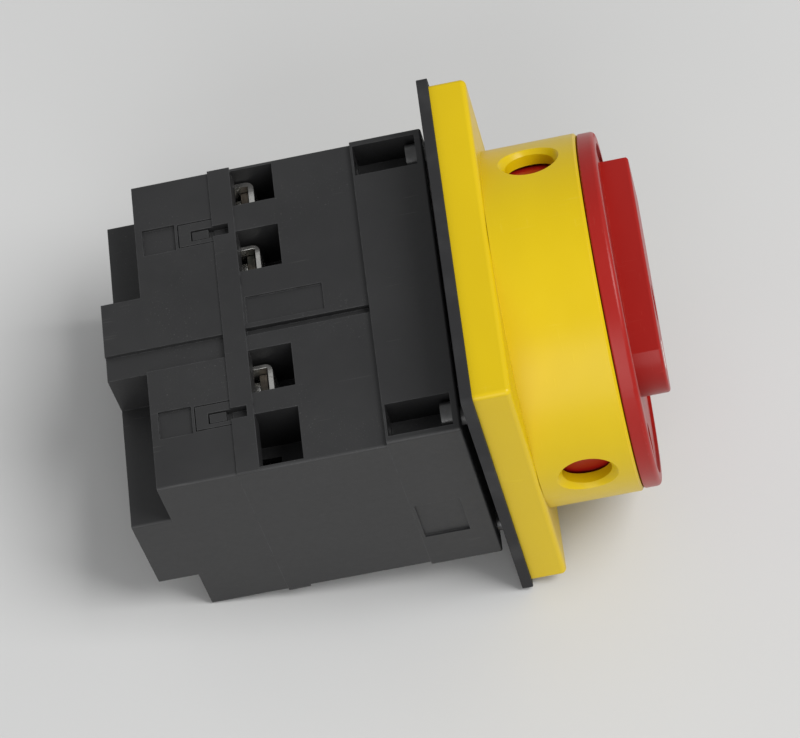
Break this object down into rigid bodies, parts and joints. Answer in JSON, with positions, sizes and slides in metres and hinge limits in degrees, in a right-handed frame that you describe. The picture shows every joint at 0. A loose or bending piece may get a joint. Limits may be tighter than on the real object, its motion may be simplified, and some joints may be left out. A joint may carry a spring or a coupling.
{
  "type": "rotary isolator switch",
  "caption": "Panel-mounted rotary isolator switch with a red handle on a yellow plate, lockable with padlocks, and a black contact block behind.",
  "frame": {"origin": "on the shaft axis, in the plane of the panel's outer face (the gasket's back face)", "axes": "+X along the shaft out of the front, +Z towards the line terminals"},
  "size_m": [0.0874, 0.062, 0.062],
  "materials": {
    "yellow": "smooth injection-moulded polyamide, semi-gloss",
    "red": "smooth injection-moulded polyamide, semi-gloss",
    "black": "fine spark-eroded texture on black glass-filled polyamide",
    "seal": "matt black rubber",
    "pale_plastic": "natural glass-filled polyamide",
    "steel": "zinc-plated steel",
    "plated_steel": "bright nickel-plated steel",
    "contact_metal": "copper strip with silver contact tips",
    "brass": "turned brass"
  },
  "bodies": {
    "base": {"gasket": "seal", "front_plate": "yellow", "lock_collar": "yellow", "plate_inserts": "brass", "panel_screws": "steel", "front_housing": "black", "mechanism_plate": "steel", "spring_pins": "steel", "index_spring_upper": "steel", "index_spring_lower": "steel", "housing_screws": "steel", "contact_housing": "black", "rear_cover": "black", "opening_spring": "steel", "line_contact_1": "contact_metal", "line_contact_2": "contact_metal", "line_contact_3": "contact_metal", "load_contact_1": "contact_metal", "load_contact_2": "contact_metal", "load_contact_3": "contact_metal"},
    "turning": {"handle": "red", "handle_skirt": "red", "handle_screw": "steel", "hub_seal": "seal", "retaining_clip": "steel", "drive_shaft": "steel", "index_cam": "pale_plastic", "cam_rotor": "pale_plastic"},
    "carrier": {"contact_carrier": "pale_plastic", "moving_contact_1": "contact_metal", "moving_contact_2": "contact_metal", "moving_contact_3": "contact_metal", "contact_spring_1": "steel", "contact_spring_2": "steel", "contact_spring_3": "steel"},
    "line_screw_1": {"line_screw_1": "plated_steel"},
    "line_clamp_1": {"line_clamp_1": "plated_steel"},
    "line_screw_2": {"line_screw_2": "plated_steel"},
    "line_clamp_2": {"line_clamp_2": "plated_steel"},
    "line_screw_3": {"line_screw_3": "plated_steel"},
    "line_clamp_3": {"line_clamp_3": "plated_steel"},
    "load_screw_1": {"load_screw_1": "plated_steel"},
    "load_clamp_1": {"load_clamp_1": "plated_steel"},
    "load_screw_2": {"load_screw_2": "plated_steel"},
    "load_clamp_2": {"load_clamp_2": "plated_steel"},
    "load_screw_3": {"load_screw_3": "plated_steel"},
    "load_clamp_3": {"load_clamp_3": "plated_steel"}
  },
  "joints": [
    {"name": "handle_turn", "type": "hinge", "parent": "base", "child": "turning", "pos_m": [0, 0, 0], "axis": [1, 0, 0], "range_deg": [0, 90], "deforming": ["index_spring_upper", "index_spring_lower"]},
    {"name": "carrier_slide", "type": "slide", "parent": "base", "child": "carrier", "axis": [1, 0, 0], "range_m": [0, 0.004], "deforming": ["opening_spring"]},
    {"name": "line_clamp_1_slide", "type": "slide", "parent": "base", "child": "line_clamp_1", "axis": [1, 0, 0], "range_m": [0, 0.004]},
    {"name": "line_screw_1_turn", "type": "hinge", "parent": "base", "child": "line_screw_1", "pos_m": [-0.0403, 0.0249, 0.0125], "axis": [-1, 0, 0], "range_deg": [0, 1800]},
    {"name": "line_clamp_2_slide", "type": "slide", "parent": "base", "child": "line_clamp_2", "axis": [1, 0, 0], "range_m": [0, 0.004]},
    {"name": "line_screw_2_turn", "type": "hinge", "parent": "base", "child": "line_screw_2", "pos_m": [-0.0403, 0.0124, 0.0125], "axis": [-1, 0, 0], "range_deg": [0, 1800]},
    {"name": "line_clamp_3_slide", "type": "slide", "parent": "base", "child": "line_clamp_3", "axis": [1, 0, 0], "range_m": [0, 0.004]},
    {"name": "line_screw_3_turn", "type": "hinge", "parent": "base", "child": "line_screw_3", "pos_m": [-0.0403, -0.0107, 0.0125], "axis": [-1, 0, 0], "range_deg": [0, 1800]},
    {"name": "load_clamp_1_slide", "type": "slide", "parent": "base", "child": "load_clamp_1", "axis": [1, 0, 0], "range_m": [0, 0.004]},
    {"name": "load_screw_1_turn", "type": "hinge", "parent": "base", "child": "load_screw_1", "pos_m": [-0.0403, 0.0249, -0.0125], "axis": [-1, 0, 0], "range_deg": [0, 1800]},
    {"name": "load_clamp_2_slide", "type": "slide", "parent": "base", "child": "load_clamp_2", "axis": [1, 0, 0], "range_m": [0, 0.004]},
    {"name": "load_screw_2_turn", "type": "hinge", "parent": "base", "child": "load_screw_2", "pos_m": [-0.0403, 0.0124, -0.0125], "axis": [-1, 0, 0], "range_deg": [0, 1800]},
    {"name": "load_clamp_3_slide", "type": "slide", "parent": "base", "child": "load_clamp_3", "axis": [1, 0, 0], "range_m": [0, 0.004]},
    {"name": "load_screw_3_turn", "type": "hinge", "parent": "base", "child": "load_screw_3", "pos_m": [-0.0403, -0.0107, -0.0125], "axis": [-1, 0, 0], "range_deg": [0, 1800]}
  ],
  "couplings": [
    {"joint": "carrier_slide", "follows": "handle_turn", "m_per_rad": 0.0025465},
    {"joint": "line_screw_1_turn", "follows": "line_clamp_1_slide", "rad_per_m": 7854},
    {"joint": "line_screw_2_turn", "follows": "line_clamp_2_slide", "rad_per_m": 7854},
    {"joint": "line_screw_3_turn", "follows": "line_clamp_3_slide", "rad_per_m": 7854},
    {"joint": "load_screw_1_turn", "follows": "load_clamp_1_slide", "rad_per_m": 7854},
    {"joint": "load_screw_2_turn", "follows": "load_clamp_2_slide", "rad_per_m": 7854},
    {"joint": "load_screw_3_turn", "follows": "load_clamp_3_slide", "rad_per_m": 7854}
  ]
}
